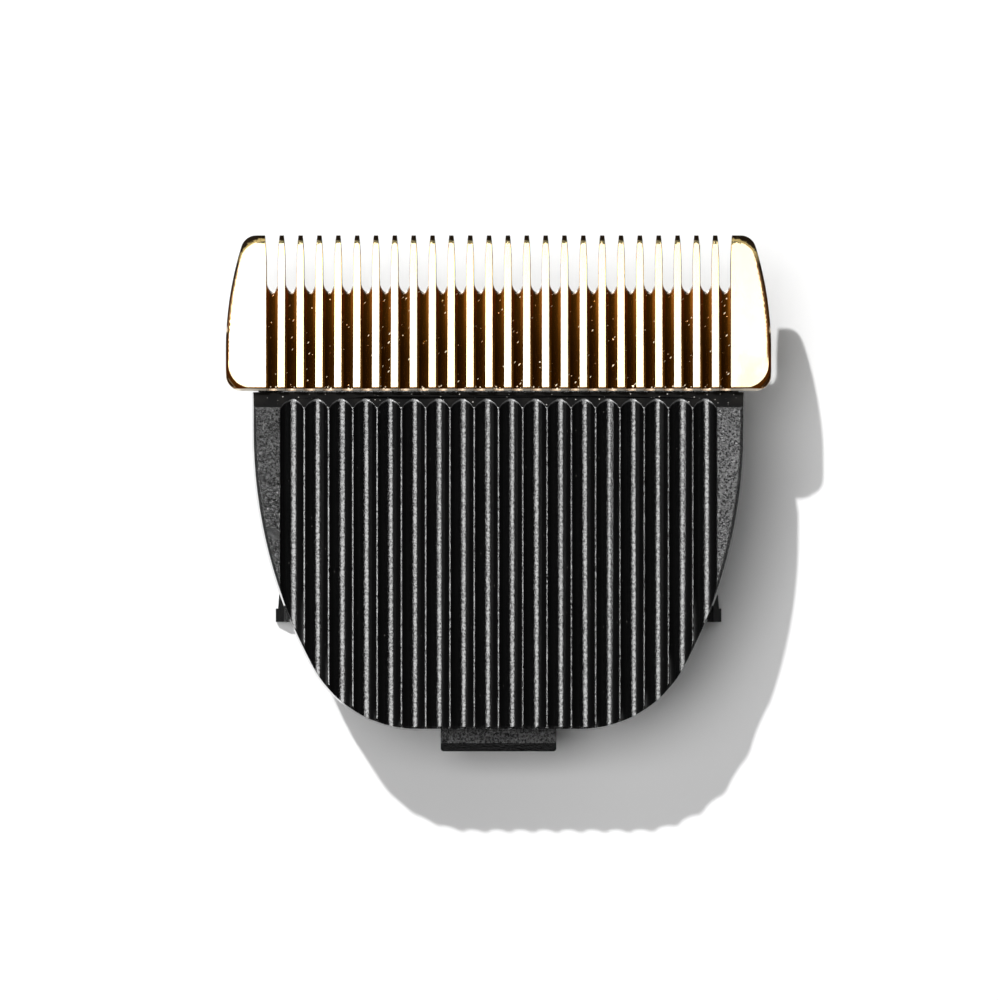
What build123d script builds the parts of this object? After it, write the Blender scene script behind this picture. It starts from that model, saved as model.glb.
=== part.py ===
"""Clip-in hair clipper blade, lying on its inner side with the fluted face up.

X runs across the blade, Y points to the tooth tips, Z is up. Millimetres.
The origin is at the middle of the plan and on the surface it rests on.
"""
import os
from math import atan2, cos, degrees, radians, sin, sqrt

from build123d import *

# Fixed blade
BLADE_WIDTH = 46.0
BLADE_DEPTH = 13.13
BLADE_HEEL = 2.2
BLADE_TIP = 0.55
BLADE_SIDE_RADIUS = 30.0
BLADE_STRAIGHT = 3.5
BLADE_FRONT_CORNER = 1.3
BLADE_REAR_CORNER = 1.3
FACE_FRONT_CORNER = 2.2
FACE_REAR_CORNER = 2.1
BEVEL_INSET_SIDE = 0.17
BEVEL_INSET_TIP = 0.42
BEVEL_SLOPE = 60.0
STEP_INSET_SIDE = 0.18
STEP_INSET_REAR = 0.2
STEP_SLOPE = 22.0
LEDGE_HEIGHT = 1.5
LAND_WIDTH = 3.4
TOOTH_PITCH = 1.592
GROOVE_WIDTH = 0.94
GROOVE_HEEL_DEPTH = 0.65
GROOVE_FLOOR_RADIUS = 1.0
GAP_LENGTH = 4.76
GAP_MOUTH = 1.23
FLARE_LENGTH = 2.6
RELIEF_DEPTH = 0.15
RELIEF_LENGTH = 2.2

# Carrier
CARRIER_LENGTH = 28.37
CARRIER_HALF_WIDTH = 20.63
CARRIER_SIDE_RADIUS = 42.0
CARRIER_CORNER_RADIUS = 9.9
CARRIER_SIDE_STRAIGHT = 3.23
CUT_PLANE = 10.2
FACE_EDGE = 0.19
PLATE_THICKNESS = 2.0
SKIRT_HEIGHT = 4.4
SKIRT_THICKNESS = 1.5
SKIRT_DRAFT = 3.4
BEVEL_LENGTH = 1.37
BEVEL_ANGLE = 36.0
FLUTE_COUNT = 18
FLUTE_PITCH = 2.046
FLUTE_DEPTH = 0.52
FLUTE_CREST = 0.14
SEAT_DEPTH = 2.65
SEAT_THICKNESS = 2.6
FRONT_WALL = 1.5
EAR_LENGTH = 3.9
EAR_WALL = 1.6
CHEEK_OUTER = 16.9
CHEEK_THICKNESS = 1.5
CHEEK_CORNER = 1.5
CHEEK_REAR = 32.78
ARM_LENGTH = 4.1
ARM_SLIT = 0.8
LUG_REACH = 19.05
LUG_LENGTH = 1.15
LUG_RAMP = 1.2
LUG_HEIGHT = 1.3
LUG_CHAMFER = 0.7
HOOK_WIDTH = 9.8
HOOK_REACH = 2.06
HOOK_THICKNESS = 2.0
HOOK_DROP = 4.8
HOOK_LIP = 0.7
HOOK_CORNER = 0.25
RIB_WIDTH = 1.0
RIB_HEIGHT = 1.1
RIB_SPACING = 7.0

# Moving cutter and holder
CUTTER_THICKNESS = 1.6
CUTTER_FEWER_TEETH = 2
CUTTER_SETBACK = 0.8
CUTTER_TOOTH_ROOT = 0.66
CUTTER_TOOTH_TIP = 0.4
CUTTER_TOOTH_LENGTH = 4.0
CUTTER_TIP_THICKNESS = 0.5
STROKE = 2.6
PEG_RADIUS = 1.05
PEG_SPACING = 16.0
PEG_RECESS = 0.3
HOLDER_WIDTH = 26.8
HOLDER_DEPTH = 4.0
HOLDER_THICKNESS = 1.8
FORK_SLOT = 5.1
FORK_PRONG = 2.65
FORK_DEPTH = 5.0
FORK_WEB = 1.6
FORK_CLEAR_FLOOR = 0.8

# Springs and screws
WIRE_RADIUS = 0.3
COIL_RADIUS = 1.7
COIL_PITCH = 0.66
COIL_TURNS = 2
WIRE_SIDES = 8
COIL_X = 10.6
COIL_Y = 3.0
LEG_LIFT = 40.0
LEG_FRONT = 10.4
SCREW_INSET = 2.2
SCREW_SHANK = 0.78
SCREW_HEAD_RADIUS = 1.45
SCREW_HEAD_HEIGHT = 1.1
SCREW_DEPTH = 1.3

# Clearances
SEAM = 0.12
RUNNING_GAP = 0.02
GUIDE_GAP = 0.1
SIDE_GAP = 0.3
PEG_GAP = 0.05
WEB_GAP = 0.4
SPRING_GAP = 0.05
POST_GAP = 0.15
SCREW_GAP = 0.12
THREAD_GAP = 0.02
BOTTOM_GAP = 0.2

# Derived counts and places
TOOTH_COUNT = 2 * int((BLADE_WIDTH / 2 - LAND_WIDTH) / TOOTH_PITCH)
CUTTER_TEETH = TOOTH_COUNT - CUTTER_FEWER_TEETH
OVERALL = BLADE_DEPTH + SEAM + CARRIER_LENGTH + HOOK_REACH
TIP_Y = OVERALL / 2
HEEL_Y = TIP_Y - BLADE_DEPTH
GAP_ROOT_Y = TIP_Y - GAP_LENGTH
FRONT_Y = HEEL_Y - SEAM
FACE_FRONT_Y = FRONT_Y - BEVEL_LENGTH
REAR_Y = FRONT_Y - CARRIER_LENGTH
SEAT_Y = HEEL_Y + SEAT_DEPTH
FACE_Z = CUT_PLANE + BLADE_HEEL
PLATE_Z = FACE_Z - PLATE_THICKNESS
SKIRT_Z = FACE_Z - SKIRT_HEIGHT
SEAT_Z = CUT_PLANE - SEAT_THICKNESS
CUTTER_TOP = CUT_PLANE - RUNNING_GAP
CUTTER_Z = CUTTER_TOP - CUTTER_THICKNESS
CUTTER_REAR_Y = SEAT_Y + GUIDE_GAP
CUTTER_TIP_Y = TIP_Y - CUTTER_SETBACK
HOLDER_Z = CUTTER_Z - HOLDER_THICKNESS
HOLDER_REAR_Y = CUTTER_REAR_Y + 0.4
WEB_TOP = SEAT_Z - WEB_GAP
WEB_Z = WEB_TOP - FORK_WEB
PEG_Y = HOLDER_REAR_Y + HOLDER_DEPTH / 2
LEG_Z = HOLDER_Z - SPRING_GAP - WIRE_RADIUS
COIL_Z = LEG_Z + COIL_RADIUS
CUTTER_HALF = (CUTTER_TEETH - 1) / 2 * TOOTH_PITCH + CUTTER_TOOTH_ROOT / 2
EAR_INNER = CUTTER_HALF + STROKE / 2 + SIDE_GAP
SCREW_X = BLADE_WIDTH / 2 - SCREW_INSET
EAR_OUTER = SCREW_X + EAR_WALL
EAR_Y = HEEL_Y + 0.35
SCREW_Y = EAR_Y + EAR_LENGTH / 2
CHEEK_INNER = CHEEK_OUTER - CHEEK_THICKNESS
CHEEK_BACK_Y = TIP_Y - CHEEK_REAR


def block(x0, x1, y0, y1, z0, z1):
    """A box between two corners."""
    size = Box(x1 - x0, y1 - y0, z1 - z0, align=(Align.MIN, Align.MIN, Align.MIN))
    return Pos(x0, y0, z0) * size


def both_sides(piece):
    """A feature and its mirror image across the middle plane."""
    return [piece, mirror(piece, about=Plane.YZ)]


def upright(radius, height, x, y, z):
    """A vertical cylinder that stands on the given point."""
    return Pos(x, y, z) * Cylinder(radius, height, align=(Align.CENTER, Align.CENTER, Align.MIN))


def blade_outline(depth, side_inset, tip_inset, rear_inset, front_corner, rear_corner):
    """Plan of the fixed blade, with the rear edge on Y = 0."""
    half = BLADE_WIDTH / 2 - side_inset
    turn = BLADE_STRAIGHT
    top = depth - tip_inset
    radius = BLADE_SIDE_RADIUS
    half_tip = half - radius + sqrt(radius**2 - (top - turn) ** 2)
    mid_y = (turn + top) / 2
    half_mid = half - radius + sqrt(radius**2 - (mid_y - turn) ** 2)
    edges = [
        Line((-half, rear_inset), (half, rear_inset)),
        Line((half, rear_inset), (half, turn)),
        ThreePointArc((half, turn), (half_mid, mid_y), (half_tip, top)),
        Line((half_tip, top), (-half_tip, top)),
        ThreePointArc((-half_tip, top), (-half_mid, mid_y), (-half, turn)),
        Line((-half, turn), (-half, rear_inset)),
    ]
    plan = make_face(edges)
    rows = plan.vertices().group_by(Axis.Y)
    plan = fillet(rows[0], min(rear_corner, turn - rear_inset - 0.1))
    plan = fillet(plan.vertices().group_by(Axis.Y)[-1], front_corner)
    return plan


def gap_flare():
    """Plan of the widening mouth of one gap."""
    narrow = GROOVE_WIDTH / 2
    wide = GAP_MOUTH / 2
    start = TIP_Y - FLARE_LENGTH
    past = TIP_Y + 1
    edges = [
        Line((-narrow, start), (narrow, start)),
        TangentArc((narrow, start), (wide, TIP_Y), tangent=(0, 1)),
        Line((wide, TIP_Y), (wide, past)),
        Line((wide, past), (-wide, past)),
        Line((-wide, past), (-wide, TIP_Y)),
        TangentArc((-narrow, start), (-wide, TIP_Y), tangent=(0, 1)),
    ]
    return make_face(edges)


def groove_section():
    """Cross section of one groove: gently hollow floor, upright walls."""
    half = GROOVE_WIDTH / 2
    rise = GROOVE_FLOOR_RADIUS - sqrt(GROOVE_FLOOR_RADIUS**2 - half**2)
    edges = [
        ThreePointArc((-half, rise), (0, 0), (half, rise)),
        Line((half, rise), (half, 6)),
        Line((half, 6), (-half, 6)),
        Line((-half, 6), (-half, rise)),
    ]
    return make_face(edges)


def make_fixed_blade():
    plan = blade_outline(BLADE_DEPTH, 0, 0, 0, BLADE_FRONT_CORNER, BLADE_REAR_CORNER)
    blade = extrude(Pos(0, HEEL_Y, CUT_PLANE) * plan, BLADE_HEEL)

    # Grooves that fall from the heel and break through the cutting plane as gaps
    run = GAP_ROOT_Y - HEEL_Y
    fall = degrees(atan2(BLADE_HEEL - GROOVE_HEEL_DEPTH, run))
    start = Plane(
        origin=(0, GAP_ROOT_Y + 8 * cos(radians(fall)), CUT_PLANE - 8 * sin(radians(fall))),
        x_dir=(1, 0, 0),
        z_dir=(0, -cos(radians(fall)), sin(radians(fall))),
    )
    groove = extrude(start * groove_section(), BLADE_DEPTH + 8)
    flare = extrude(Pos(0, 0, CUT_PLANE - 1) * gap_flare(), BLADE_HEEL + 2)
    tool = groove + flare
    first = -TOOTH_COUNT / 2
    blade -= [Pos((first + i) * TOOTH_PITCH, 0, 0) * tool for i in range(TOOTH_COUNT + 1)]

    # Sloping outer face, bevelled at the tips
    slope = degrees(atan2(BLADE_HEEL - BLADE_TIP, BLADE_DEPTH))
    face_depth = BLADE_DEPTH / cos(radians(slope))
    outer = Pos(0, HEEL_Y, FACE_Z) * Rot(-slope, 0, 0)
    bevelled = blade_outline(
        face_depth, BEVEL_INSET_SIDE, BEVEL_INSET_TIP, -0.5, FACE_FRONT_CORNER, BLADE_REAR_CORNER
    )
    blade &= extrude(outer * bevelled, -BLADE_HEEL - 2, taper=-BEVEL_SLOPE)

    # Step round the sides and heel, down to a narrow ledge
    crown = blade_outline(
        face_depth, STEP_INSET_SIDE, -2, STEP_INSET_REAR, BLADE_FRONT_CORNER, FACE_REAR_CORNER
    )
    stepped = extrude(outer * crown, -BLADE_HEEL - 2, taper=-STEP_SLOPE)
    stepped += block(-BLADE_WIDTH, BLADE_WIDTH, 0, OVERALL, CUT_PLANE - 1, CUT_PLANE + LEDGE_HEIGHT)
    blade &= stepped

    relief_front = GAP_ROOT_Y - 2.2
    relief = block(
        -CHEEK_OUTER, CHEEK_OUTER, relief_front - RELIEF_LENGTH, relief_front,
        CUT_PLANE - 1, CUT_PLANE + RELIEF_DEPTH,
    )
    blade -= relief
    hole = upright(SCREW_SHANK + THREAD_GAP, SCREW_DEPTH + BOTTOM_GAP, SCREW_X, SCREW_Y, CUT_PLANE)
    blade -= both_sides(hole)
    return blade


def carrier_outline():
    """Plan of the carrier: straight sides, a long curve, a rear corner curve, a flat rear."""
    half = CARRIER_HALF_WIDTH
    long_r = CARRIER_SIDE_RADIUS
    short_r = CARRIER_CORNER_RADIUS
    long_x = half - long_r
    short_y = REAR_Y + short_r
    turn_y = FRONT_Y - CARRIER_SIDE_STRAIGHT
    lean = turn_y - short_y
    flat = long_x + sqrt((long_r - short_r) ** 2 - lean**2)
    joint_angle = atan2(-lean, flat - long_x)
    joint = (long_x + long_r * cos(joint_angle), turn_y + long_r * sin(joint_angle))
    middle = (long_x + long_r * cos(joint_angle / 2), turn_y + long_r * sin(joint_angle / 2))
    corner_angle = (joint_angle - radians(90)) / 2
    corner = (flat + short_r * cos(corner_angle), short_y + short_r * sin(corner_angle))
    side = [
        ThreePointArc((flat, REAR_Y), corner, joint),
        ThreePointArc(joint, middle, (half, turn_y)),
        Line((half, turn_y), (half, FRONT_Y)),
    ]
    rear = Line((-flat, REAR_Y), (flat, REAR_Y))
    front = Line((half, FRONT_Y), (-half, FRONT_Y))
    other = [mirror(edge, about=Plane.YZ) for edge in reversed(side)]
    return make_face([rear] + side + [front] + other)


def make_carrier():
    outline = carrier_outline()
    shell = extrude(Pos(0, 0, FACE_Z) * outline, -SKIRT_HEIGHT, taper=-SKIRT_DRAFT)
    shell -= block(-BLADE_WIDTH, BLADE_WIDTH, FRONT_Y, TIP_Y, 0, FACE_Z + 2)
    rim = shell.faces().sort_by(Axis.Z)[-1].edges().sort_by(Axis.Y)[:-1]
    shell = chamfer(rim, FACE_EDGE)

    hollow = offset(outline, -SKIRT_THICKNESS, kind=Kind.INTERSECTION)
    shell -= extrude(Pos(0, 0, SKIRT_Z) * hollow, SKIRT_HEIGHT - PLATE_THICKNESS)

    bevel = Plane(
        origin=(0, FACE_FRONT_Y, FACE_Z),
        x_dir=(1, 0, 0),
        z_dir=(0, sin(radians(BEVEL_ANGLE)), cos(radians(BEVEL_ANGLE))),
    )
    wedge = extrude(bevel * Rectangle(2 * BLADE_WIDTH, 8), 6)
    shell -= wedge

    chord = FLUTE_PITCH - FLUTE_CREST
    radius = chord**2 / (8 * FLUTE_DEPTH) + FLUTE_DEPTH / 2
    across = Plane(origin=(0, FRONT_Y + 3, FACE_Z), x_dir=(1, 0, 0), z_dir=(0, -1, 0))
    flute = extrude(across * Pos(0, radius - FLUTE_DEPTH) * Circle(radius), CARRIER_LENGTH + 6)
    first = -(FLUTE_COUNT - 1) / 2
    shell -= [Pos((first + i) * FLUTE_PITCH, 0, 0) * flute for i in range(FLUTE_COUNT)]

    # Front wall and blade seat
    seat_half = CARRIER_HALF_WIDTH - 0.35
    body = shell
    body += block(-seat_half, seat_half, FRONT_Y - FRONT_WALL, FRONT_Y, SEAT_Z, PLATE_Z + 0.2)
    body += block(-seat_half, seat_half, FRONT_Y - FRONT_WALL, SEAT_Y, SEAT_Z, CUT_PLANE)

    # Ears that carry the end lands of the blade
    ear_plan = RectangleRounded(EAR_OUTER - EAR_INNER, EAR_LENGTH, 1.4)
    ear_x = (EAR_OUTER + EAR_INNER) / 2
    ear = extrude(Pos(ear_x, SCREW_Y, SEAT_Z) * ear_plan, SEAT_THICKNESS)
    body += both_sides(ear)
    shaft = upright(SCREW_SHANK + SCREW_GAP, SEAT_THICKNESS + 2, SCREW_X, SCREW_Y, SEAT_Z - 1)
    body -= both_sides(shaft)

    # Side walls with a springing arm at the rear
    cheek = block(CHEEK_INNER, CHEEK_OUTER, CHEEK_BACK_Y, SEAT_Y, 0, SEAT_Z + 0.4)
    cheek += block(CHEEK_INNER, CHEEK_OUTER, CHEEK_BACK_Y, FRONT_Y - 0.3, SEAT_Z, PLATE_Z + 0.3)
    low_edges = cheek.edges().filter_by(Axis.X).group_by(Axis.Z)[0]
    cheek = fillet(low_edges.sort_by(Axis.Y)[-1], CHEEK_CORNER)
    cheek -= block(
        CHEEK_INNER - 1, CHEEK_OUTER + 1, CHEEK_BACK_Y + ARM_LENGTH,
        CHEEK_BACK_Y + ARM_LENGTH + ARM_SLIT, -1, SKIRT_Z,
    )
    body += both_sides(cheek)

    # Lugs at the foot of the arms, with a ramp at the front
    lug_plan = make_face(Polyline(
        (CHEEK_OUTER - 0.2, CHEEK_BACK_Y),
        (LUG_REACH, CHEEK_BACK_Y),
        (LUG_REACH, CHEEK_BACK_Y + LUG_LENGTH),
        (LUG_REACH - 0.2, CHEEK_BACK_Y + LUG_LENGTH),
        (LUG_REACH - 0.3, CHEEK_BACK_Y + LUG_LENGTH + LUG_RAMP),
        (CHEEK_OUTER - 0.2, CHEEK_BACK_Y + LUG_LENGTH + LUG_RAMP),
        close=True,
    ))
    lug = extrude(Pos(0, 0, 0.1) * lug_plan, LUG_HEIGHT)
    outer_edge = lug.edges().filter_by(Axis.Y).group_by(Axis.X)[-1].sort_by(Axis.Z)[-1]
    lug = chamfer(outer_edge, LUG_CHAMFER)
    body += both_sides(lug)

    # Rear hook
    hook_z = FACE_Z - HOOK_DROP - HOOK_THICKNESS
    hook_profile = make_face(Polyline(
        (REAR_Y + SKIRT_THICKNESS, SKIRT_Z + 0.5),
        (REAR_Y + SKIRT_THICKNESS, hook_z),
        (REAR_Y - HOOK_REACH + HOOK_LIP, hook_z),
        (REAR_Y - HOOK_REACH + HOOK_LIP, hook_z - HOOK_LIP),
        (REAR_Y - HOOK_REACH, hook_z - HOOK_LIP),
        (REAR_Y - HOOK_REACH, FACE_Z - HOOK_DROP - HOOK_LIP),
        (REAR_Y - HOOK_REACH + HOOK_LIP, FACE_Z - HOOK_DROP),
        (REAR_Y + 0.2, FACE_Z - HOOK_DROP),
        (REAR_Y + 0.2, SKIRT_Z + 0.5),
        close=True,
    ))
    side_plane = Plane(origin=(-HOOK_WIDTH / 2, 0, 0), x_dir=(0, 1, 0), z_dir=(1, 0, 0))
    hook = extrude(side_plane * hook_profile, HOOK_WIDTH)
    hook = fillet(hook.edges().filter_by(Axis.Z).group_by(Axis.Y)[0], HOOK_CORNER)
    body += hook

    # Stiffening ribs under the face
    rib_top = PLATE_Z + 0.3
    for x in (-RIB_SPACING, 0, RIB_SPACING):
        body += block(
            x - RIB_WIDTH / 2, x + RIB_WIDTH / 2, REAR_Y + SKIRT_THICKNESS - 0.2,
            FRONT_Y - FRONT_WALL + 0.2, PLATE_Z - RIB_HEIGHT, rib_top,
        )

    # Posts for the springs
    post_radius = COIL_RADIUS - WIRE_RADIUS - POST_GAP
    coil_width = COIL_PITCH * (COIL_TURNS + LEG_LIFT / 360)
    post_start = COIL_X - WIRE_RADIUS - 0.4
    collar_start = COIL_X + coil_width + WIRE_RADIUS + 0.1
    along_x = Plane(origin=(post_start, COIL_Y, COIL_Z), x_dir=(0, 1, 0), z_dir=(1, 0, 0))
    post = extrude(along_x * Circle(post_radius), CHEEK_INNER - post_start + 0.2)
    along_x = Plane(origin=(collar_start, COIL_Y, COIL_Z), x_dir=(0, 1, 0), z_dir=(1, 0, 0))
    post += extrude(along_x * Circle(COIL_RADIUS + 0.2), CHEEK_INNER - collar_start + 0.2)
    body += both_sides(post)
    return body


def make_moving_cutter():
    half = CUTTER_HALF
    root_y = CUTTER_TIP_Y - CUTTER_TOOTH_LENGTH
    profile = make_face(Polyline(
        (CUTTER_REAR_Y, CUTTER_TOP),
        (CUTTER_TIP_Y, CUTTER_TOP),
        (CUTTER_TIP_Y, CUTTER_TOP - CUTTER_TIP_THICKNESS),
        (root_y - 0.6, CUTTER_Z),
        (CUTTER_REAR_Y, CUTTER_Z),
        close=True,
    ))
    side_plane = Plane(origin=(-half, 0, 0), x_dir=(0, 1, 0), z_dir=(1, 0, 0))
    cutter = extrude(side_plane * profile, 2 * half)
    root = (TOOTH_PITCH - CUTTER_TOOTH_ROOT) / 2
    mouth = (TOOTH_PITCH - CUTTER_TOOTH_TIP) / 2
    gap_plan = make_face(Polyline(
        (-root / 2, root_y - root), (root / 2, root_y - root), (root, root_y),
        (mouth, CUTTER_TIP_Y + 1), (-mouth, CUTTER_TIP_Y + 1), (-root, root_y),
        close=True,
    ))
    gap = extrude(Pos(0, 0, CUTTER_Z - 1) * gap_plan, CUTTER_THICKNESS + 2)
    first = -(CUTTER_TEETH - 2) / 2
    cutter -= [Pos((first + i) * TOOTH_PITCH, 0, 0) * gap for i in range(CUTTER_TEETH - 1)]
    hole = upright(PEG_RADIUS + PEG_GAP, CUTTER_THICKNESS + 2, PEG_SPACING / 2, PEG_Y, CUTTER_Z - 1)
    cutter -= both_sides(hole)
    return cutter


def make_cutter_holder():
    base_plan = RectangleRounded(HOLDER_WIDTH, HOLDER_DEPTH, 0.8)
    holder = extrude(Pos(0, PEG_Y, HOLDER_Z) * base_plan, HOLDER_THICKNESS)
    peg = upright(PEG_RADIUS, CUTTER_THICKNESS - PEG_RECESS + 0.2, PEG_SPACING / 2, PEG_Y, CUTTER_Z - 0.2)
    holder += both_sides(peg)
    outer = FORK_SLOT / 2 + FORK_PRONG
    fork_back = HOLDER_REAR_Y - FORK_DEPTH
    holder += block(-outer, outer, fork_back, PEG_Y, WEB_Z, WEB_TOP)
    prong = block(FORK_SLOT / 2, outer, fork_back, HOLDER_REAR_Y, FORK_CLEAR_FLOOR, WEB_TOP)
    lead = prong.faces().sort_by(Axis.Z)[0].edges().sort_by(Axis.X)[0]
    prong = chamfer(lead, 0.7)
    holder += both_sides(prong)
    return holder


def make_spring():
    """The spring on the +X side: front leg, close coil, rear leg that leans up to the plate."""
    turns = COIL_TURNS + LEG_LIFT / 360
    seat = Plane(origin=(COIL_X, COIL_Y, COIL_Z), x_dir=(0, 0, -1), z_dir=(1, 0, 0))
    coil = seat * Helix(COIL_PITCH, COIL_PITCH * turns, COIL_RADIUS, lefthand=True)
    front = coil.position_at(0)
    front_dir = coil.tangent_at(0)
    rear = coil.position_at(1)
    rear_dir = coil.tangent_at(1)
    rise = PLATE_Z - SPRING_GAP - WIRE_RADIUS * 1.4 - rear.Z
    leg_rear = rise / rear_dir.Z
    path = Wire([
        Edge.make_line(front - front_dir * LEG_FRONT, front),
        coil.edge(),
        Edge.make_line(rear, rear + rear_dir * leg_rear),
    ])
    section = Plane(origin=path.position_at(0), z_dir=path.tangent_at(0)) * RegularPolygon(WIRE_RADIUS, WIRE_SIDES)
    return sweep(section, path=path)


def make_screw():
    """The +X screw: pan head under the ear, plain shank up into the blade."""
    head = upright(SCREW_HEAD_RADIUS, SCREW_HEAD_HEIGHT, SCREW_X, SCREW_Y, SEAT_Z - SCREW_HEAD_HEIGHT)
    head = chamfer(head.edges().sort_by(Axis.Z)[0], 0.3)
    shank = upright(SCREW_SHANK, SEAT_THICKNESS + SCREW_DEPTH, SCREW_X, SCREW_Y, SEAT_Z)
    screw = head + shank
    for turn in (0, 90):
        slot = Box(1.7, 0.42, 1.2)
        screw -= Pos(SCREW_X, SCREW_Y, SEAT_Z - SCREW_HEAD_HEIGHT) * Rot(0, 0, turn) * slot
    return screw


spring = make_spring()
screw = make_screw()
parts = {
    "carrier": make_carrier(),
    "fixed_blade": make_fixed_blade(),
    "moving_cutter": make_moving_cutter(),
    "cutter_holder": make_cutter_holder(),
    "pressure_spring_left": mirror(spring, about=Plane.YZ),
    "pressure_spring_right": spring,
    "blade_screw_left": mirror(screw, about=Plane.YZ),
    "blade_screw_right": screw,
}

os.makedirs("parts", exist_ok=True)
for name, piece in parts.items():
    export_step(piece, f"parts/{name}.step")
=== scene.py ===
"""Looks of the clip-in hair clipper blade: finishes, smooth copies of the solids, studio light, camera."""
from math import radians

import bpy
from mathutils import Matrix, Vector


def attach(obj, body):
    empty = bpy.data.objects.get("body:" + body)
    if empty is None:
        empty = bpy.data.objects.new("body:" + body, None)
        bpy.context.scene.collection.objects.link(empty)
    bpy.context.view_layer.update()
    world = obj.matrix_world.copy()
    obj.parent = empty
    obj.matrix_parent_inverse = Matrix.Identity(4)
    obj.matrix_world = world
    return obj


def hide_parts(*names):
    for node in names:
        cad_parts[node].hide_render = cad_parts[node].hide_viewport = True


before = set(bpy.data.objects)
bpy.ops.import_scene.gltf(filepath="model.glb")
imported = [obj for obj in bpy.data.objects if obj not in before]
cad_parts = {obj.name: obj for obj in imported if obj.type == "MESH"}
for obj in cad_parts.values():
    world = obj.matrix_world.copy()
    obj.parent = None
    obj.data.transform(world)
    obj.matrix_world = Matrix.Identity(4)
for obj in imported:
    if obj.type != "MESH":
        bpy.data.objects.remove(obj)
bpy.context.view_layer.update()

MM = 0.001

# Places on the fixed blade, in millimetres
TOOTH_PITCH = 1.592
GROOVE_HALF = 0.47
GROOVED_HALF = 19.6
BLADE_HEEL_Y = 8.71
TOP_Z = 12.4
BLADE_FALL = 1.65 / 13.13
CUT_PLANE = 10.2
TIP_Y = 21.84
GAP_ROOT_Y = 17.08
STEP_Z = 11.7
STEP_FRONT_Y = 14.28
STEP_CLOSES_Y = 9.9
LAND_HALF = 22.82
SIDE_ARC_Y = 12.18
SIDE_RADIUS = 30.0

# Places on the carrier, in millimetres
FLUTED_HALF = 18.36
FACE_FRONT_Y = 7.22
FACE_RISE = (9.0, 10.0)
BEVEL_FALL = 0.7265
BEVEL_SUNK = (0.07, 0.03)
RIM_SUNK = (0.13, 0.05)
HOOK_FRONT_Y = -19.6

# How far a face looks up (a level one by 1) or sideways: where a mask begins and where it is whole
BEVEL_UP = (0.87, 0.83)
RIM_UP = (0.83, 0.87)
LEVEL_UP = (0.965, 0.99)
LIP_UP = (0.985, 0.93)
WALL_UP = (0.35, 0.15)
FLANK_UP = (0.982, 0.945)
SLOPE_LEAN = (0.24, 0.42)

# Black plastic; a pair of gloss values runs from the pits of the grain to its tops
BLACK = ((0.0004, 0.0004, 0.0005, 1), (0.0011, 0.0011, 0.0012, 1))
GREY_ON_TOPS = (0.11, 0.11, 0.11, 1)
PALE_LINT = (0.55, 0.53, 0.5, 1)
GREY_GROWS_X = (-14.0, 20.0)
GRAIN_DEPTH = 0.3
FINE_RELIEF = 0.07
GRAIN_TOPS = (0.36, 0.56)
FLUTE_ROUGH = 0.08
SLOPE_ROUGH = 0.3
LEVEL_ROUGH = 0.26
BEVEL_ROUGH = 0.34
WALL_ROUGH = 0.05
TONE_ROUGH = 0.04
FLUTE_GLOSS = (0.3, 0.74)
CREST_GLOSS = (0.75, 1.0)
LEVEL_GLOSS = (0.2, 0.85)
HOOK_GLOSS = (0.25, 1.0)
HOOK_FRONT_GLOSS = 0.25
LIP_GLOSS = 0.02
SLOPE_GLOSS = 0.16
RIM_GLOSS = 0.7
BEVEL_GLOSS = 0.22
WALL_GLOSS = 1.0
LOW_WALL_GLOSS = 0.28
LOW_TOP_GLOSS = 0.08
PLASTIC_IOR = 1.8

# Gold steel; the pairs of painted light and shade for the grooves run from the tips to the heel, the others
# mix by a noise
GOLD = ((0.95, 0.76, 0.46, 1), (0.92, 0.71, 0.39, 1))
PAINTED_GROOVE_LIGHT = ((0.85, 0.28, 0.025, 1), (0.36, 0.11, 0.008, 1))
PAINTED_GROOVE_SIDE_SHADE = ((0.40, 0.135, 0.014, 1), (0.14, 0.045, 0.004, 1))
# Painted dark reflection on the bevelled edges, near black at the tips
PAINTED_EDGE_REFLECTION = ((0.15, 0.055, 0.014, 1), (0.05, 0.018, 0.006, 1))
PAINTED_TIP_SHADE = (0.03, 0.02, 0.012, 1)
WORN_EDGE = (0.42, 0.31, 0.12, 1)
# Painted highlight on the step, painted shade towards its outer corners, painted highlight on the lower rim
PAINTED_STEP_HIGHLIGHT = (0.92, 0.82, 0.68, 1)
PAINTED_CORNER_SHADE = (0.022, 0.009, 0.003, 1)
PAINTED_RIM_HIGHLIGHT = (0.88, 0.76, 0.6, 1)
BARE_STEEL = (0.78, 0.74, 0.66, 1)
FRINGE_BROWN = (0.1, 0.035, 0.008, 1)
WORN_TIP = (0.10, 0.085, 0.04, 1)
OLIVE_TINT = (0.4, 0.38, 0.24, 1)
BRIGHT_CHIP = (1.0, 0.88, 0.66, 1)
# Specular tints: plain, and darkened for the painted dark reflection on the edges
WHITE_TINT = (1.0, 1.0, 1.0, 1)
PAINTED_FLANK_REFLECTION_TINT = (0.2, 0.1, 0.05, 1)
LAND_ROUGH = 0.16
FLANK_ROUGH = 0.4
LEDGE_ROUGH = 0.45
GROOVE_ROUGH = 0.07
GROOVE_SIDE_ROUGH = 0.2
CUTTING_ROUGH = 0.22
CHIP_ROUGH = 0.85
LINE_DEPTH = 0.0025
CHIP_RISE = 6.0

# Finished copies: lengths in millimetres, turns in degrees; a rise is how far a face looks up or down
WELD = 0.0005
FLAT_WITHIN = 0.3
KNIFE_TURN = 140.0
ROUNDING_STEPS = 2
TIGHT_SHARE = 0.08
MANY_CORNERS = 12
WALL_RISE = 0.1
TOP_RISE = 0.25

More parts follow.
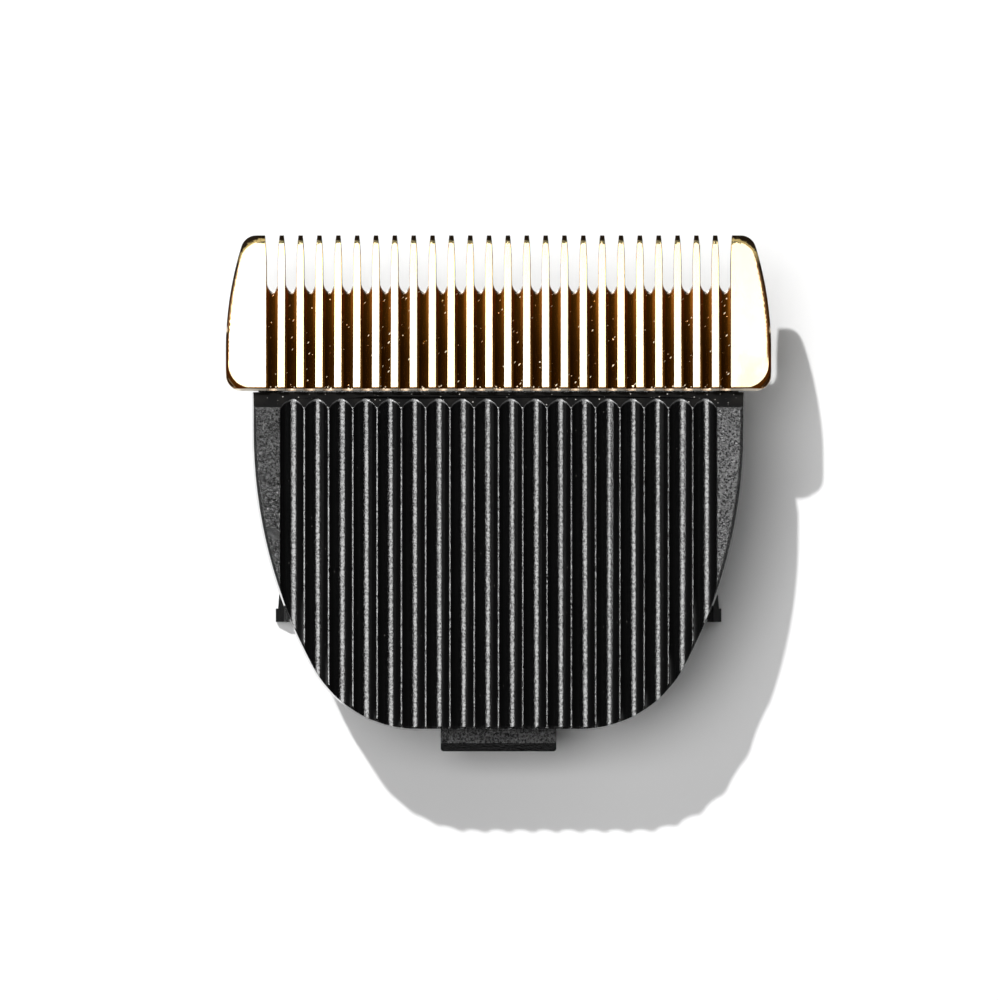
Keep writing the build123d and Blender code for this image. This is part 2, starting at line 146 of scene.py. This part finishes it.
# Studio: metres, watts and degrees; lens and sensor in millimetres
FLOOR_SIZE = 6.0
FLOOR_GREY = (0.93, 0.93, 0.93, 1)
SUN_TOWARD = (-0.412, 0.752, 1.0)
SUN_STRENGTH = 2.6
SUN_ANGLE = 1.4
BOX_HEIGHT = 0.9
FILL_SIZE = (0.9, 0.5)
WORLD_STRENGTH = 0.035
CAMERA_PLACE = (0.000126, -0.00051, 0.8)
CAMERA_LENS = 336.5
CAMERA_SENSOR = 36.0
CAMERA_NEAR = 0.01


# Shader helpers


def put(tree, kind, inputs=None, **settings):
    """One shader node with its settings, plain values and links."""
    made = tree.nodes.new("ShaderNode" + kind)
    for name, value in settings.items():
        setattr(made, name, value)
    set_inputs(tree, made, inputs or {})
    return made


def set_inputs(tree, made, inputs):
    """Link or set a node's inputs, by number or label."""
    for name, value in inputs.items():
        socket = made.inputs[name]
        if isinstance(value, bpy.types.NodeSocket):
            tree.links.new(value, socket)
        else:
            socket.default_value = value


def calc(tree, operation, *values):
    """A Math node's result."""
    return put(tree, "Math", dict(enumerate(values)), operation=operation).outputs[0]


def both(tree, first, *others):
    """Where every one of the masks is."""
    for mask in others:
        first = calc(tree, "MULTIPLY", first, mask)
    return first


def either(tree, first, *others):
    """Where any of the masks is."""
    for mask in others:
        first = calc(tree, "MAXIMUM", first, mask)
    return first


def outside(tree, mask):
    """Where the mask isn't."""
    return calc(tree, "SUBTRACT", 1.0, mask)


def faded(tree, mask, share):
    """The mask at a share of its strength."""
    return calc(tree, "MULTIPLY", mask, share)


def ramp(tree, value, low, high):
    """0 below low, 1 above high, smooth between; low above high turns it round."""
    inputs = {"Value": value, "From Min": low, "From Max": high}
    made = put(tree, "MapRange", inputs, interpolation_type="SMOOTHSTEP")
    return made.outputs["Result"]


def blend_colour(tree, factor, first, second):
    made = put(tree, "Mix", {0: factor, 6: first, 7: second}, data_type="RGBA")
    return made.outputs[2]


def blend_value(tree, factor, first, second):
    made = put(tree, "Mix", {0: factor, 2: first, 3: second}, data_type="FLOAT")
    return made.outputs[0]


def noise(tree, place, per_mm, detail):
    """Cloudy noise from 0 to 1."""
    return put(tree, "TexNoise", {"Vector": place, "Scale": per_mm, "Detail": detail}).outputs["Fac"]


def start_group(name, inputs, outputs):
    tree = bpy.data.node_groups.new(name, "ShaderNodeTree")
    for label, kind in inputs:
        tree.interface.new_socket(label, in_out="INPUT", socket_type="NodeSocket" + kind)
    for label, kind in outputs:
        tree.interface.new_socket(label, in_out="OUTPUT", socket_type="NodeSocket" + kind)
    return tree, tree.nodes.new("NodeGroupInput"), tree.nodes.new("NodeGroupOutput")


def use_group(tree, group, **inputs):
    """A shared effect with its inputs; an underscore stands for the space in a label."""
    made = tree.nodes.new("ShaderNodeGroup")
    made.node_tree = group
    set_inputs(tree, made, {label.replace("_", " "): value for label, value in inputs.items()})
    return made


# Shared effects


def make_millimetres():
    """Object coordinates in millimetres, whole and one by one, and how far a face looks up and sideways."""
    tree, _, result = start_group(
        "millimetres", [],
        [("Place", "Vector")] + [(label, "Float") for label in ("X", "Y", "Z", "Up", "Lean")],
    )
    coords = put(tree, "TexCoord")
    scaled = {0: coords.outputs["Object"], "Scale": 1 / MM}
    place = put(tree, "VectorMath", scaled, operation="SCALE").outputs[0]
    parts = put(tree, "SeparateXYZ", {0: place})
    facing = put(tree, "SeparateXYZ", {0: coords.outputs["Normal"]})
    tree.links.new(facing.outputs["Z"], result.inputs["Up"])
    tree.links.new(calc(tree, "ABSOLUTE", facing.outputs["X"]), result.inputs["Lean"])
    tree.links.new(place, result.inputs["Place"])
    for axis in "XYZ":
        tree.links.new(parts.outputs[axis], result.inputs[axis])
    return tree


def make_mould_grain():
    """Spark-eroded grain of a mould, as a height from 0 to 1: noise with wider pits mixed in."""
    pit_spread, pit_share = 0.6, 0.35
    tree, given, result = start_group(
        "mould grain", [("Place", "Vector"), ("Per mm", "Float")], [("Height", "Float")]
    )
    place, per_mm = given.outputs["Place"], given.outputs["Per mm"]
    fine = put(tree, "TexNoise", {"Vector": place, "Scale": per_mm, "Detail": 2.0, "Roughness": 0.6})
    wider = calc(tree, "MULTIPLY", per_mm, pit_spread)
    pits = put(tree, "TexVoronoi", {"Vector": place, "Scale": wider}, feature="SMOOTH_F1")
    height = blend_value(tree, pit_share, fine.outputs["Fac"], pits.outputs["Distance"])
    tree.links.new(height, result.inputs["Height"])
    return tree


def make_dust():
    """Sparse specks of dust, each a small blob of its own size with a soft edge."""
    soft_edge = 0.06
    tree, given, result = start_group(
        "dust", [("Place", "Vector"), ("Per mm", "Float"), ("Share", "Float"), ("Size", "Float")],
        [("Mask", "Float")],
    )
    cells = put(tree, "TexVoronoi", {"Vector": given.outputs["Place"], "Scale": given.outputs["Per mm"]})
    chance = put(tree, "SeparateColor", {0: cells.outputs["Color"]})
    present = calc(tree, "LESS_THAN", chance.outputs[0], given.outputs["Share"])
    reach = calc(tree, "MULTIPLY", chance.outputs[1], given.outputs["Size"])
    inside = calc(tree, "SUBTRACT", reach, cells.outputs["Distance"])
    soft = put(tree, "MapRange", {"Value": inside, "From Min": 0.0, "From Max": soft_edge})
    tree.links.new(both(tree, present, soft.outputs["Result"]), result.inputs["Mask"])
    return tree


def make_grind_lines():
    """Fine lines left by grinding, as a height from 0 to 1; Stretch is their number per mm each way."""
    tree, given, result = start_group(
        "grind lines", [("Place", "Vector"), ("Stretch", "Vector")], [("Height", "Float")]
    )
    factors = {0: given.outputs["Place"], 1: given.outputs["Stretch"]}
    drawn = put(tree, "VectorMath", factors, operation="MULTIPLY").outputs[0]
    lines = put(tree, "TexNoise", {"Vector": drawn, "Scale": 1.0, "Detail": 3.0, "Roughness": 0.65})
    tree.links.new(lines.outputs["Fac"], result.inputs["Height"])
    return tree


MILLIMETRES = make_millimetres()
MOULD_GRAIN = make_mould_grain()
DUST = make_dust()
GRIND_LINES = make_grind_lines()


def grain_height(tree, place, per_mm):
    return use_group(tree, MOULD_GRAIN, Place=place, Per_mm=per_mm).outputs["Height"]


def dust_mask(tree, place, per_mm, share, size):
    return use_group(tree, DUST, Place=place, Per_mm=per_mm, Share=share, Size=size).outputs["Mask"]


def grind_height(tree, place, stretch):
    return use_group(tree, GRIND_LINES, Place=place, Stretch=stretch).outputs["Height"]


def start_material(name):
    material = bpy.data.materials.new(name)
    material.use_nodes = True
    tree = material.node_tree
    shader = tree.nodes["Principled BSDF"]
    here = use_group(tree, MILLIMETRES)
    return material, tree, shader, here


def set_bump(tree, shader, height, depth):
    """Raise the surface by a height, which is mostly from 0 to 1, times a depth in millimetres."""
    bump = put(tree, "Bump", {"Height": height, "Distance": depth * MM, "Strength": 1.0})
    tree.links.new(bump.outputs["Normal"], shader.inputs["Normal"])


# Finishes


def make_black_plastic():
    """Carrier: black moulding, grained on the flats, hook and flutes, smooth on the front bevel and skirt."""
    material, tree, shader, here = start_material("black_moulded_plastic")
    place, x, y, z, up, lean = (here.outputs[label] for label in ("Place", "X", "Y", "Z", "Up", "Lean"))

    # Parts of the moulding; sunk is the depth under the plane of the front bevel
    face = ramp(tree, z, *FACE_RISE)
    low = outside(tree, face)
    beside = ramp(tree, calc(tree, "ABSOLUTE", x), FLUTED_HALF - 0.05, FLUTED_HALF + 0.05)
    flats = both(tree, beside, face)
    fall = calc(tree, "MULTIPLY", calc(tree, "SUBTRACT", y, FACE_FRONT_Y), BEVEL_FALL)
    sunk = calc(tree, "SUBTRACT", calc(tree, "SUBTRACT", TOP_Z, z), fall)
    bevel = both(tree, ramp(tree, sunk, *BEVEL_SUNK), ramp(tree, up, *BEVEL_UP))
    rim = both(tree, ramp(tree, sunk, *RIM_SUNK), face, ramp(tree, up, *RIM_UP))
    crest = ramp(tree, z, TOP_Z - 0.06, TOP_Z - 0.015)
    slope = ramp(tree, lean, *SLOPE_LEAN)
    wall = ramp(tree, calc(tree, "ABSOLUTE", up), *WALL_UP)
    hook = ramp(tree, y, HOOK_FRONT_Y, HOOK_FRONT_Y - 0.2)
    lip = both(tree, hook, ramp(tree, up, *LIP_UP))
    coarse = both(tree, either(tree, flats, hook), outside(tree, bevel))
    level = both(tree, coarse, ramp(tree, up, *LEVEL_UP))

    grain = grain_height(tree, place, per_mm=6.0)
    fine = grain_height(tree, place, per_mm=9.0)
    tops = ramp(tree, fine, *GRAIN_TOPS)
    height = blend_value(tree, coarse, faded(tree, fine, FINE_RELIEF), grain)
    calm = either(tree, faded(tree, bevel, share=0.8), wall)
    set_bump(tree, shader, both(tree, height, outside(tree, calm)), GRAIN_DEPTH)

    # Grey on the grain tops of the flats, growing to the right, and of the hook; a little dust, and lint on
    # the bevel
    tone = noise(tree, place, per_mm=0.35, detail=2.0)
    tinted = either(tree, ramp(tree, x, *GREY_GROWS_X), faded(tree, hook, share=0.7))
    tinted = both(tree, tinted, level, tops)
    dust = faded(tree, dust_mask(tree, place, per_mm=2.6, share=0.1, size=0.2), share=0.1)
    lint = both(tree, dust_mask(tree, place, per_mm=4.5, share=0.3, size=0.3), bevel)
    colour = blend_colour(tree, tone, *BLACK)
    colour = blend_colour(tree, tinted, colour, GREY_ON_TOPS)
    colour = blend_colour(tree, either(tree, dust, lint), colour, PALE_LINT)
    tree.links.new(colour, shader.inputs["Base Color"])

    rough = blend_value(tree, slope, FLUTE_ROUGH, SLOPE_ROUGH)
    rough = blend_value(tree, level, rough, LEVEL_ROUGH)
    rough = blend_value(tree, either(tree, bevel, rim), rough, BEVEL_ROUGH)
    rough = calc(tree, "ADD", rough, faded(tree, tone, TONE_ROUGH))
    rough = blend_value(tree, wall, rough, WALL_ROUGH)
    tree.links.new(rough, shader.inputs["Roughness"])

    low_gloss = blend_value(tree, ramp(tree, up, 0.2, 0.6), LOW_WALL_GLOSS, LOW_TOP_GLOSS)
    hook_top = ramp(tree, y, HOOK_FRONT_Y - 0.3, HOOK_FRONT_Y - 0.7)
    hook_gloss = blend_value(tree, hook_top, HOOK_FRONT_GLOSS, blend_value(tree, tops, *HOOK_GLOSS))
    gloss = blend_value(tree, tops, *FLUTE_GLOSS)
    gloss = blend_value(tree, crest, gloss, blend_value(tree, tops, *CREST_GLOSS))
    gloss = blend_value(tree, level, gloss, blend_value(tree, tops, *LEVEL_GLOSS))
    gloss = blend_value(tree, slope, gloss, SLOPE_GLOSS)
    gloss = blend_value(tree, low, gloss, low_gloss)
    gloss = blend_value(tree, hook, gloss, blend_value(tree, lip, hook_gloss, LIP_GLOSS))
    gloss = blend_value(tree, rim, gloss, RIM_GLOSS)
    gloss = blend_value(tree, bevel, gloss, BEVEL_GLOSS)
    gloss = blend_value(tree, both(tree, wall, face), gloss, WALL_GLOSS)
    tree.links.new(gloss, shader.inputs["Specular IOR Level"])
    shader.inputs["IOR"].default_value = PLASTIC_IOR
    return material


def make_gold_steel():
    """Fixed blade: ground steel under a gold coat, with painted light and shade in the grooves and a painted
    dark reflection on the bevelled edges.
    """
    material, tree, shader, here = start_material("gold_coated_steel")
    place, x, y, z, up = (here.outputs[label] for label in ("Place", "X", "Y", "Z", "Up"))
    side = calc(tree, "ABSOLUTE", x)
    run = calc(tree, "SUBTRACT", y, BLADE_HEEL_Y)
    outer = calc(tree, "SUBTRACT", TOP_Z, calc(tree, "MULTIPLY", run, BLADE_FALL))
    depth = calc(tree, "SUBTRACT", outer, z)

    # Parts of the blade: heel strip, edges, cutting face, grooves, and the step round the end lands
    below = ramp(tree, depth, 0.03, 0.1)
    heel = ramp(tree, run, 0.2, 0.15)
    # A line along the heel end of the lands joins the edges and takes their painted dark reflection
    heel_line = ramp(tree, run, 0.34, 0.27)
    flank = ramp(tree, calc(tree, "ABSOLUTE", up), *FLANK_UP)
    flank = both(tree, either(tree, flank, heel_line), outside(tree, heel))
    land = outside(tree, either(tree, below, flank))
    cutting = ramp(tree, z, CUT_PLANE + 0.06, CUT_PLANE + 0.01)
    from_gap = calc(tree, "PINGPONG", x, TOOTH_PITCH / 2)
    in_gap = ramp(tree, from_gap, GROOVE_HALF + 0.04, GROOVE_HALF)
    comb = ramp(tree, side, GROOVED_HALF + 0.05, GROOVED_HALF - 0.05)
    groove = both(tree, in_gap, comb, below, outside(tree, faded(tree, heel, share=0.6)))
    ledge = both(tree, below, outside(tree, either(tree, groove, flank)))
    corner = both(tree, ramp(tree, side, GROOVED_HALF + 1.2, GROOVED_HALF + 2.0), outside(tree, heel))
    behind = ramp(tree, y, STEP_FRONT_Y, STEP_FRONT_Y - 0.5)
    lower = both(tree, flank, ramp(tree, z, STEP_Z, STEP_Z - 0.02), corner, behind)

    # Coat: gold lands; painted light in the grooves, an orange glow near the tips that fades to painted shade
    # at the heel; a painted dark reflection on the edges, near black at the tips, with patches of worn coat
    # there
    to_heel = ramp(tree, y, 17.0, 11.0)
    beside = ramp(tree, from_gap, 0.2, 0.36)
    stain = noise(tree, place, per_mm=1.4, detail=3.0)
    mottle = noise(tree, place, per_mm=5.0, detail=2.0)
    ragged = calc(tree, "SUBTRACT", mottle, 0.5)
    gold = blend_colour(tree, stain, *GOLD)
    # Painted light in the grooves: orange towards the tips, painted shade towards the heel, darker at the
    # groove sides
    brown = blend_colour(tree, to_heel, *PAINTED_GROOVE_LIGHT)
    brown = blend_colour(tree, beside, brown, blend_colour(tree, to_heel, *PAINTED_GROOVE_SIDE_SHADE))
    # Painted dark reflection on the edges, near black at the tips, with worn coat near the tips
    edge = blend_colour(tree, stain, *PAINTED_EDGE_REFLECTION)
    edge = blend_colour(tree, ramp(tree, y, GAP_ROOT_Y - 1.0, GAP_ROOT_Y + 2.0), edge, PAINTED_TIP_SHADE)
    worn = calc(tree, "ADD", depth, faded(tree, ragged, share=0.4))
    worn = both(tree, ramp(tree, worn, 0.14, 0.04), ramp(tree, y, TIP_Y - 2.6, TIP_Y - 1.4))
    worn = both(tree, worn, ramp(tree, side, GROOVED_HALF - 0.1, GROOVED_HALF + 0.1))
    edge = blend_colour(tree, worn, edge, WORN_EDGE)
    # Painted highlight on the step, painted shade on it towards the outer corners, painted highlight on the
    # lower rim there
    colour = blend_colour(tree, ledge, gold, blend_colour(tree, corner, PAINTED_STEP_HIGHLIGHT, PAINTED_CORNER_SHADE))
    colour = blend_colour(tree, flank, colour, edge)
    colour = blend_colour(tree, lower, colour, PAINTED_RIM_HIGHLIGHT)
    colour = blend_colour(tree, groove, colour, brown)
    colour = blend_colour(tree, cutting, colour, BARE_STEEL)

    # Ragged brown fringe inside the outer edge of the end lands, wider on the right
    ahead = calc(tree, "MAXIMUM", calc(tree, "SUBTRACT", y, SIDE_ARC_Y), 0.0)
    bow = calc(tree, "DIVIDE", calc(tree, "MULTIPLY", ahead, ahead), 2 * SIDE_RADIUS)
    inset = calc(tree, "SUBTRACT", LAND_HALF, calc(tree, "ADD", side, bow))
    inset = calc(tree, "ADD", inset, faded(tree, ragged, share=0.3))
    inset = calc(tree, "MULTIPLY", inset, blend_value(tree, ramp(tree, x, -1.0, 1.0), 2.0, 1.0))
    fringe = both(tree, ramp(tree, inset, 0.3, 0.1), ramp(tree, y, SIDE_ARC_Y - 1.4, SIDE_ARC_Y - 0.4), land)
    colour = blend_colour(tree, fringe, colour, FRINGE_BROWN)

    # Worn coat at the tips, and duller olive-tinted patches on the end lands towards the heel
    wear = calc(tree, "ADD", mottle, ramp(tree, y, TIP_Y - 1.2, TIP_Y - 0.3))
    wear = both(tree, ramp(tree, wear, 1.05, 1.2), outside(tree, flank))
    colour = blend_colour(tree, wear, colour, WORN_TIP)
    tinted = both(tree, ramp(tree, side, GROOVED_HALF + 0.2, GROOVED_HALF + 0.9), ramp(tree, y, 12.6, 10.2))
    patches = ramp(tree, noise(tree, place, per_mm=0.5, detail=2.0), 0.35, 0.65)
    tinted = both(tree, tinted, patches, land)
    colour = blend_colour(tree, faded(tree, tinted, share=0.5), colour, OLIVE_TINT)

    # Bright chips, dots and a burr along the heel, all in the grooves
    aslant = put(tree, "Mapping", {
        "Vector": place, "Rotation": (0.0, 0.0, radians(50)), "Scale": (1.0, 0.35, 1.0),
    }, vector_type="TEXTURE").outputs[0]
    chips = dust_mask(tree, aslant, per_mm=1.6, share=0.42, size=0.24)
    dots = dust_mask(tree, place, per_mm=2.6, share=0.22, size=0.2)
    burr = ramp(tree, dust_mask(tree, place, per_mm=4.5, share=0.6, size=0.5), 0.1, 0.4)
    burr = both(tree, burr, ramp(tree, run, 0.5, 0.25))
    specks = both(tree, either(tree, chips, dots, burr), groove)
    colour = blend_colour(tree, specks, colour, BRIGHT_CHIP)
    tree.links.new(colour, shader.inputs["Base Color"])

    # Painted glow at the groove sides near the tips; it, the painted highlights on the step and lower rim,
    # the chips and the worn edges are shaded as non-metal
    painted_glow = both(tree, ramp(tree, from_gap, 0.18, GROOVE_HALF), outside(tree, to_heel), groove)
    painted_step_mask = both(tree, ledge, outside(tree, corner))
    bare = either(tree, faded(tree, painted_glow, share=0.35), painted_step_mask, specks, lower, both(tree, worn, flank))
    tree.links.new(outside(tree, bare), shader.inputs["Metallic"])
    # The painted dark reflection on the edges also goes through their specular tint
    tree.links.new(blend_colour(tree, flank, WHITE_TINT, PAINTED_FLANK_REFLECTION_TINT), shader.inputs["Specular Tint"])

    rough = blend_value(tree, flank, LAND_ROUGH, FLANK_ROUGH)
    rough = blend_value(tree, ledge, rough, LEDGE_ROUGH)
    rough = blend_value(tree, groove, rough, blend_value(tree, beside, GROOVE_ROUGH, GROOVE_SIDE_ROUGH))
    rough = blend_value(tree, cutting, rough, CUTTING_ROUGH)
    rough = blend_value(tree, specks, rough, CHIP_ROUGH)
    tree.links.new(rough, shader.inputs["Roughness"])
    lines = both(tree, grind_height(tree, place, stretch=(14.0, 0.5, 2.0)), outside(tree, groove))
    raised = calc(tree, "MULTIPLY", specks, CHIP_RISE)
    set_bump(tree, shader, calc(tree, "ADD", lines, raised), LINE_DEPTH)
    return material


def make_white_ceramic():
    """Moving cutter: fine white ceramic with faint grinding lines and pores."""
    material, tree, shader, here = start_material("white_ceramic")
    place = here.outputs["Place"]
    cloud = noise(tree, place, per_mm=0.9, detail=3.0)
    colour = blend_colour(tree, cloud, (0.80, 0.79, 0.75, 1), (0.86, 0.85, 0.82, 1))
    pores = faded(tree, dust_mask(tree, place, per_mm=6.0, share=0.12, size=0.22), share=0.35)
    colour = blend_colour(tree, pores, colour, (0.45, 0.43, 0.4, 1))
    tree.links.new(colour, shader.inputs["Base Color"])
    lines = grind_height(tree, place, stretch=(0.6, 11.0, 3.0))
    tree.links.new(blend_value(tree, lines, 0.22, 0.42), shader.inputs["Roughness"])
    set_bump(tree, shader, lines, depth=0.003)
    return material


def make_grey_plastic():
    """Cutter holder: dark grey low-friction plastic with a fine grain and some dust."""
    material, tree, shader, here = start_material("dark_grey_plastic")
    place = here.outputs["Place"]
    cloud = noise(tree, place, per_mm=0.6, detail=3.0)
    colour = blend_colour(tree, cloud, (0.085, 0.086, 0.09, 1), (0.115, 0.116, 0.12, 1))
    dust = faded(tree, dust_mask(tree, place, per_mm=3.0, share=0.1, size=0.2), share=0.5)
    colour = blend_colour(tree, dust, colour, (0.4, 0.39, 0.37, 1))
    tree.links.new(colour, shader.inputs["Base Color"])
    grain = grain_height(tree, place, per_mm=6.0)
    tree.links.new(blend_value(tree, grain, 0.42, 0.6), shader.inputs["Roughness"])
    set_bump(tree, shader, grain, depth=0.02)
    return material


def make_steel(name, dark, light, stretch, smooth, rough):
    """Bare or plated steel with fine lines."""
    material, tree, shader, here = start_material(name)
    place = here.outputs["Place"]
    cloud = noise(tree, place, per_mm=2.2, detail=3.0)
    tree.links.new(blend_colour(tree, cloud, dark, light), shader.inputs["Base Color"])
    shader.inputs["Metallic"].default_value = 1.0
    lines = grind_height(tree, place, stretch)
    tree.links.new(blend_value(tree, lines, smooth, rough), shader.inputs["Roughness"])
    set_bump(tree, shader, lines, depth=0.003)
    return material


BLACK_PLASTIC = make_black_plastic()
GOLD_STEEL = make_gold_steel()
WHITE_CERAMIC = make_white_ceramic()
GREY_PLASTIC = make_grey_plastic()
SPRING_STEEL = make_steel(
    "drawn_spring_wire", dark=(0.50, 0.50, 0.51, 1), light=(0.64, 0.64, 0.65, 1),
    stretch=(9.0, 0.8, 9.0), smooth=0.22, rough=0.38,
)
SCREW_STEEL = make_steel(
    "plated_screw", dark=(0.56, 0.57, 0.58, 1), light=(0.68, 0.68, 0.67, 1),
    stretch=(7.0, 7.0, 7.0), smooth=0.25, rough=0.45,
)


# Pieces


def on_front_rim(point):
    """The carrier's front rim, where flats and flutes meet the front bevel."""
    return point.y > (FACE_FRONT_Y - 0.1) * MM


def on_comb_outline(point):
    """The teeth and the plain lands at both ends of the comb, above the cutting face."""
    outer = abs(point.x) > GROOVED_HALF * MM or point.y > (GAP_ROOT_Y + 0.3) * MM
    return outer and point.z > (CUT_PLANE + 0.3) * MM


def where_step_runs_out(point):
    """Both lines of the end lands' step where they close up, with no room for a rounding."""
    return abs(point.z - STEP_Z * MM) < 0.01 * MM and point.y > STEP_CLOSES_Y * MM


def lies_in(zone, piece, line):
    """Whether both ends of an edge are in a zone."""
    return all(zone(piece.data.vertices[i].co) for i in line.vertices)


def weigh_edges(piece, sharpness, weight, zone=None):
    """Add a bevel weight to the edges that turn by this many degrees or more, all or those in a zone.

    With a zone, a face that has only such edges stays selected and keeps its whole outline.
    """
    bpy.ops.mesh.select_all(action="DESELECT")
    bpy.ops.mesh.edges_select_sharp(sharpness=radians(sharpness))
    if zone is not None:
        bpy.ops.object.mode_set(mode="OBJECT")
        for line in piece.data.edges:
            line.select = line.select and lies_in(zone, piece, line)
        bpy.ops.object.mode_set(mode="EDIT")
    bpy.ops.transform.edge_bevelweight(value=weight)


def ease_edges(piece, zone):
    """Leave only a trace of rounding on the edges in a zone."""
    weights = piece.data.attributes["bevel_weight_edge"].data
    for line in piece.data.edges:
        if lies_in(zone, piece, line):
            weights[line.index].value *= TIGHT_SHARE


def part_walls_from_tops(piece):
    """Mark the line between an upright wall and the rounding above it, so that they shade apart."""
    rises = {}
    for side in piece.data.polygons:
        for key in side.edge_keys:
            rises.setdefault(key, []).append(abs(side.normal.z))
    for line in piece.data.edges:
        rise = rises[line.key]
        if min(rise) < WALL_RISE and max(rise) > TOP_RISE:
            line.use_edge_sharp = True


def copy_of(node):
    """A plain duplicate of a solid, left in edit mode, with its facets joined up."""
    bpy.ops.object.select_all(action="DESELECT")
    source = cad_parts[node]
    source.select_set(True)
    bpy.context.view_layer.objects.active = source
    bpy.ops.object.duplicate()
    piece = bpy.context.view_layer.objects.active
    piece.name = node + "_finished"
    for key in list(piece.keys()):
        del piece[key]
    bpy.ops.mesh.customdata_custom_splitnormals_clear()
    bpy.ops.object.mode_set(mode="EDIT")
    bpy.ops.mesh.select_mode(type="EDGE")
    bpy.ops.mesh.select_all(action="SELECT")
    bpy.ops.mesh.remove_doubles(threshold=WELD * MM)
    bpy.ops.mesh.dissolve_limited(angle_limit=radians(FLAT_WITHIN))
    return piece


def round_edges(piece, width):
    rounding = piece.modifiers.new("rounded_edges", "BEVEL")
    rounding.width = width * MM
    rounding.segments = ROUNDING_STEPS
    rounding.limit_method = "WEIGHT"
    rounding.use_clamp_overlap = False
    bpy.ops.object.modifier_apply(modifier=rounding.name)


def keep_flat_faces_flat(piece):
    """Shade faces with many corners flat, and let large faces rule the normals at their edges."""
    for side in piece.data.polygons:
        side.use_smooth = len(side.vertices) < MANY_CORNERS
    facing = piece.modifiers.new("flat_faces_stay_flat", "WEIGHTED_NORMAL")
    facing.keep_sharp = True
    facing.weight = 100
    bpy.ops.object.modifier_apply(modifier=facing.name)


def finished_copy(
    node, body, material, edge=0.0, turn=30.0, share=1.0, zone=None, crisp=KNIFE_TURN,
    tight=None, walls_apart=False,
):
    """A merged copy of a solid that stands for it, with its edges rounded and its curves smooth.

    Edges that turn by turn degrees or more get a share of the rounding; those in the zone
    that turn by less than crisp get all of it. Knife edges stay sharp, and edges in the tight
    zone nearly so.
    """
    piece = copy_of(node)
    if edge:
        weigh_edges(piece, turn, share)
        if zone is not None:
            weigh_edges(piece, turn, 1.0 - share, zone)
            weigh_edges(piece, crisp, share - 1.0, zone)
        weigh_edges(piece, KNIFE_TURN, -1.0)
    bpy.ops.object.mode_set(mode="OBJECT")
    if tight is not None:
        ease_edges(piece, tight)
    if edge:
        round_edges(piece, edge)
    bpy.ops.object.shade_smooth_by_angle(angle=radians(turn))
    if walls_apart:
        part_walls_from_tops(piece)
    keep_flat_faces_flat(piece)
    piece.data.materials.clear()
    piece.data.materials.append(material)
    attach(piece, body)
    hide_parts(node)


finished_copy(
    "carrier", "carrier_body", BLACK_PLASTIC,
    edge=0.12, turn=28.0, share=0.25, zone=on_front_rim, crisp=42.0, walls_apart=True,
)
finished_copy(
    "fixed_blade", "carrier_body", GOLD_STEEL,
    edge=0.06, turn=25.0, share=0.5, zone=on_comb_outline, tight=where_step_runs_out,
)
finished_copy("moving_cutter", "cutter_body", WHITE_CERAMIC, edge=0.03)
finished_copy("cutter_holder", "cutter_body", GREY_PLASTIC, edge=0.08)
for hand in ("left", "right"):
    finished_copy("pressure_spring_" + hand, "carrier_body", SPRING_STEEL, turn=60.0)
    finished_copy("blade_screw_" + hand, "carrier_body", SCREW_STEEL, edge=0.04)


# Studio


def make_floor():
    bpy.ops.object.select_all(action="DESELECT")
    bpy.ops.mesh.primitive_plane_add(size=FLOOR_SIZE)
    floor = bpy.context.object
    floor.name = "floor"
    material = bpy.data.materials.new("white_table")
    material.use_nodes = True
    shader = material.node_tree.nodes["Principled BSDF"]
    shader.inputs["Base Color"].default_value = FLOOR_GREY
    shader.inputs["Roughness"].default_value = 0.9
    shader.inputs["Specular IOR Level"].default_value = 0.0
    floor.data.materials.append(material)


def hold(name, thing, place=(0.0, 0.0, 0.0), toward=None):
    """Put a lamp or camera in the scene, facing straight down or with its back to a direction."""
    holder = bpy.data.objects.new(name, thing)
    holder.location = place
    if toward is not None:
        holder.rotation_euler = Vector(toward).to_track_quat("Z", "Y").to_euler()
    bpy.context.scene.collection.objects.link(holder)
    return holder


def make_panel(name, width, depth, power):
    panel = bpy.data.lights.new(name, "AREA")
    panel.shape = "RECTANGLE"
    panel.size = width
    panel.size_y = depth
    panel.energy = power
    return panel


def make_lights():
    """A sun for the hard shadow, two boxes mirrored in flutes and lands, two fills and a dim world."""
    key = bpy.data.lights.new("key", "SUN")
    key.energy = SUN_STRENGTH
    key.angle = radians(SUN_ANGLE)
    hold("key", key, toward=SUN_TOWARD)

    for name, x, y, width, depth, power in (
        ("left_softbox", -0.268, 0.025, 0.48, 0.54, 4.15),
        ("comb_softbox", 0.074, 0.225, 0.17, 0.14, 0.23),
    ):
        hold(name, make_panel(name, width, depth, power), (x, y, BOX_HEIGHT))

    for name, place, power in (
        ("rear_fill", (0.2, -1.1, 0.65), 1.3),
        ("right_fill", (0.78, 0.72, 0.62), 1.9),
    ):
        hold(name, make_panel(name, *FILL_SIZE, power), place, toward=place)

    world = bpy.data.worlds.new("dim_studio")
    world.use_nodes = True
    sky = world.node_tree.nodes["Background"]
    sky.inputs["Color"].default_value = (1, 1, 1, 1)
    sky.inputs["Strength"].default_value = WORLD_STRENGTH
    bpy.context.scene.world = world


def make_camera():
    camera = bpy.data.cameras.new("camera")
    camera.sensor_width = CAMERA_SENSOR
    camera.lens = CAMERA_LENS
    camera.clip_start = CAMERA_NEAR
    bpy.context.scene.camera = hold("camera", camera, CAMERA_PLACE)


make_floor()
make_lights()
make_camera()
bpy.context.scene.view_settings.view_transform = "Standard"

bpy.context.view_layer.update()
